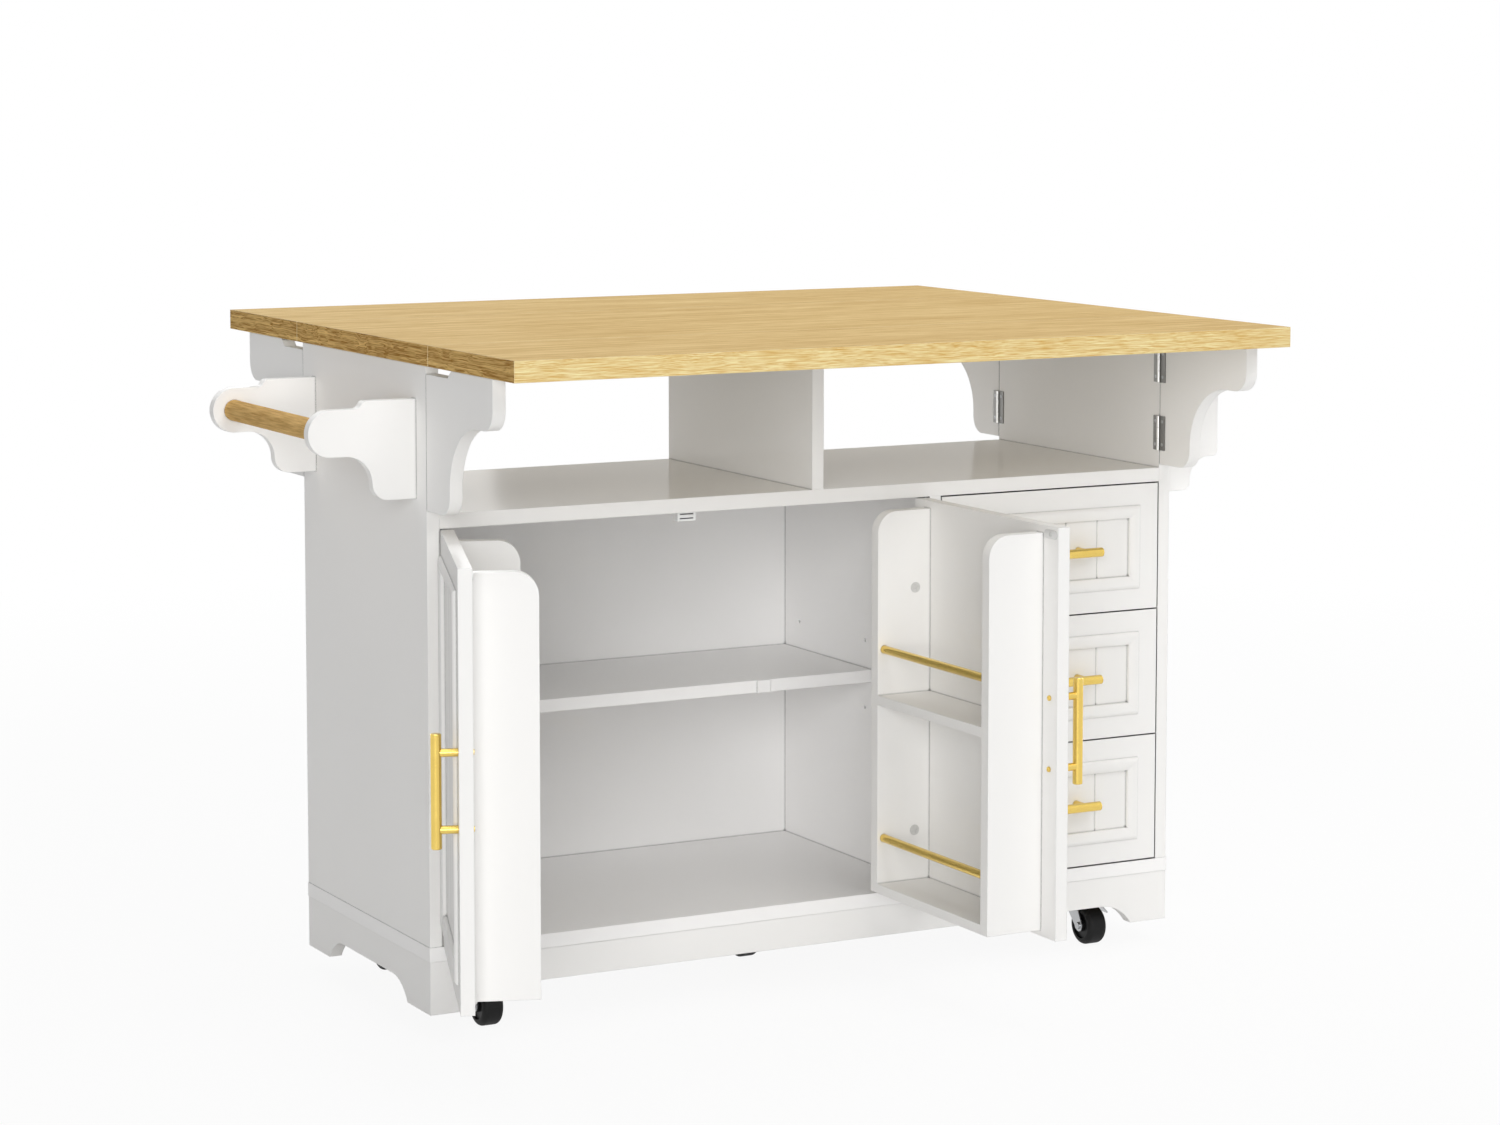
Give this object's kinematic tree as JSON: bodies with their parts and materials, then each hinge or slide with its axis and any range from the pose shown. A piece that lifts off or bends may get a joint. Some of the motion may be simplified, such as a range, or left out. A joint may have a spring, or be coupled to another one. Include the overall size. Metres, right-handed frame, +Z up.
{
  "type": "drop leaf kitchen island",
  "caption": "White kitchen island on casters: drop leaf top on swing brackets, open compartments, doors with inside racks, drawers, towel bar and spice rack.",
  "frame": {"origin": "on the floor, under the middle of the overall box with the doors standing open", "axes": "+Z up, +X to the right and +Y to the back for someone facing the doors and drawers; the front faces -Y"},
  "size_m": [1.4335, 1.0916, 0.93],
  "materials": {
    "oak": "clear satin lacquer over oak-toned boards",
    "white": "satin white paint over board",
    "plain_wood": "unpainted pale board",
    "gold": "brushed gold",
    "steel": "zinc plated steel",
    "dark_steel": "satin nickel plated steel",
    "tyre": "black rubber tread",
    "plastic": "white plastic"
  },
  "bodies": {
    "cabinet": {"worktop_centre": "oak", "leaf_hinge_plates": "dark_steel", "side_panel_left": "white", "side_panel_right": "white", "partition": "white", "upper_divider": "white", "deck_panel": "white", "bottom_panel": "white", "back_panel": "white", "inner_shelf": "white", "shelf_pins": "steel", "base_aprons": "white", "caster_bearers": "plain_wood", "hinge_pins": "steel", "bracket_hinge_plates": "dark_steel", "magnetic_catch": "plastic", "drawer_runners": "steel", "towel_arms": "white", "towel_bar": "oak", "spice_rack": "white", "caster_plates": "steel"},
    "leaf_front": {"leaf_front": "oak", "leaf_flaps_front": "dark_steel"},
    "leaf_back": {"leaf_back": "oak", "leaf_flaps_back": "dark_steel"},
    "bracket_front_left": {"bracket_front_left": "white", "bracket_flaps_front_left": "dark_steel"},
    "bracket_front_right": {"bracket_front_right": "white", "bracket_flaps_front_right": "dark_steel"},
    "bracket_back_left": {"bracket_back_left": "white", "bracket_flaps_back_left": "dark_steel"},
    "bracket_back_right": {"bracket_back_right": "white", "bracket_flaps_back_right": "dark_steel"},
    "door_left": {"door_left": "white", "door_left_rack": "white", "door_left_metalwork": "gold", "door_left_handle": "gold"},
    "door_right": {"door_right": "white", "door_right_rack": "white", "door_right_metalwork": "gold", "door_right_handle": "gold"},
    "drawer_top": {"drawer_top_front": "white", "drawer_top_box": "plain_wood", "drawer_top_handle": "gold"},
    "drawer_middle": {"drawer_middle_front": "white", "drawer_middle_box": "plain_wood", "drawer_middle_handle": "gold"},
    "drawer_bottom": {"drawer_bottom_front": "white", "drawer_bottom_box": "plain_wood", "drawer_bottom_handle": "gold"},
    "caster_front_left": {"fork_front_left": "steel"},
    "wheel_front_left": {"wheel_front_left": "tyre"},
    "caster_front_right": {"fork_front_right": "steel"},
    "wheel_front_right": {"wheel_front_right": "tyre"},
    "caster_back_left": {"fork_back_left": "steel"},
    "wheel_back_left": {"wheel_back_left": "tyre"},
    "caster_back_right": {"fork_back_right": "steel"},
    "wheel_back_right": {"wheel_back_right": "tyre"},
    "caster_centre": {"fork_centre": "steel"},
    "wheel_centre": {"wheel_centre": "tyre"}
  },
  "joints": [
    {"name": "leaf_front_hinge", "type": "hinge", "parent": "cabinet", "child": "leaf_front", "pos_m": [0.02175, -0.1955, 0.899], "axis": [-1, 0, 0], "range_deg": [0, 2.5]},
    {"name": "leaf_back_hinge", "type": "hinge", "parent": "cabinet", "child": "leaf_back", "pos_m": [0.02175, 0.274, 0.899], "axis": [1, 0, 0], "range_deg": [0, 2.5]},
    {"name": "bracket_front_left_fold", "type": "hinge", "parent": "cabinet", "child": "bracket_front_left", "pos_m": [-0.54485, -0.1815, 0.806], "axis": [0, 0, 1], "range_deg": [0, 180]},
    {"name": "bracket_front_right_fold", "type": "hinge", "parent": "cabinet", "child": "bracket_front_right", "pos_m": [0.58835, -0.1815, 0.806], "axis": [0, 0, -1], "range_deg": [0, 180]},
    {"name": "bracket_back_left_fold", "type": "hinge", "parent": "cabinet", "child": "bracket_back_left", "pos_m": [-0.54485, 0.26, 0.806], "axis": [0, 0, -1], "range_deg": [0, 180]},
    {"name": "bracket_back_right_fold", "type": "hinge", "parent": "cabinet", "child": "bracket_back_right", "pos_m": [0.58835, 0.26, 0.806], "axis": [0, 0, 1], "range_deg": [0, 180]},
    {"name": "door_left_hinge", "type": "hinge", "parent": "cabinet", "child": "door_left", "pos_m": [-0.54175, -0.17775, 0.40675], "axis": [0, 0, 1], "range_deg": [0, 110]},
    {"name": "door_right_hinge", "type": "hinge", "parent": "cabinet", "child": "door_right", "pos_m": [0.19675, -0.17775, 0.40675], "axis": [0, 0, -1], "range_deg": [0, 90]},
    {"name": "drawer_top_slide", "type": "slide", "parent": "cabinet", "child": "drawer_top", "axis": [0, -1, 0], "range_m": [0, 0.28]},
    {"name": "drawer_middle_slide", "type": "slide", "parent": "cabinet", "child": "drawer_middle", "axis": [0, -1, 0], "range_m": [0, 0.28]},
    {"name": "drawer_bottom_slide", "type": "slide", "parent": "cabinet", "child": "drawer_bottom", "axis": [0, -1, 0], "range_m": [0, 0.28]},
    {"name": "caster_front_left_swivel", "type": "hinge", "parent": "cabinet", "child": "caster_front_left", "pos_m": [-0.46325, -0.11275, 0.06], "axis": [0, 0, 1], "continuous": true},
    {"name": "wheel_front_left_roll", "type": "hinge", "parent": "caster_front_left", "child": "wheel_front_left", "pos_m": [-0.46325, -0.13275, 0.028], "axis": [1, 0, 0], "continuous": true},
    {"name": "caster_front_right_swivel", "type": "hinge", "parent": "cabinet", "child": "caster_front_right", "pos_m": [0.50675, -0.11275, 0.06], "axis": [0, 0, 1], "continuous": true},
    {"name": "wheel_front_right_roll", "type": "hinge", "parent": "caster_front_right", "child": "wheel_front_right", "pos_m": [0.50675, -0.13275, 0.028], "axis": [1, 0, 0], "continuous": true},
    {"name": "caster_back_left_swivel", "type": "hinge", "parent": "cabinet", "child": "caster_back_left", "pos_m": [-0.46325, 0.19125, 0.06], "axis": [0, 0, 1], "continuous": true},
    {"name": "wheel_back_left_roll", "type": "hinge", "parent": "caster_back_left", "child": "wheel_back_left", "pos_m": [-0.46325, 0.21125, 0.028], "axis": [1, 0, 0], "continuous": true},
    {"name": "caster_back_right_swivel", "type": "hinge", "parent": "cabinet", "child": "caster_back_right", "pos_m": [0.50675, 0.19125, 0.06], "axis": [0, 0, 1], "continuous": true},
    {"name": "wheel_back_right_roll", "type": "hinge", "parent": "caster_back_right", "child": "wheel_back_right", "pos_m": [0.50675, 0.21125, 0.028], "axis": [1, 0, 0], "continuous": true},
    {"name": "caster_centre_swivel", "type": "hinge", "parent": "cabinet", "child": "caster_centre", "pos_m": [0.02175, 0.05925, 0.06], "axis": [0, 0, 1], "continuous": true},
    {"name": "wheel_centre_roll", "type": "hinge", "parent": "caster_centre", "child": "wheel_centre", "pos_m": [0.02175, 0.03925, 0.028], "axis": [1, 0, 0], "continuous": true}
  ]
}
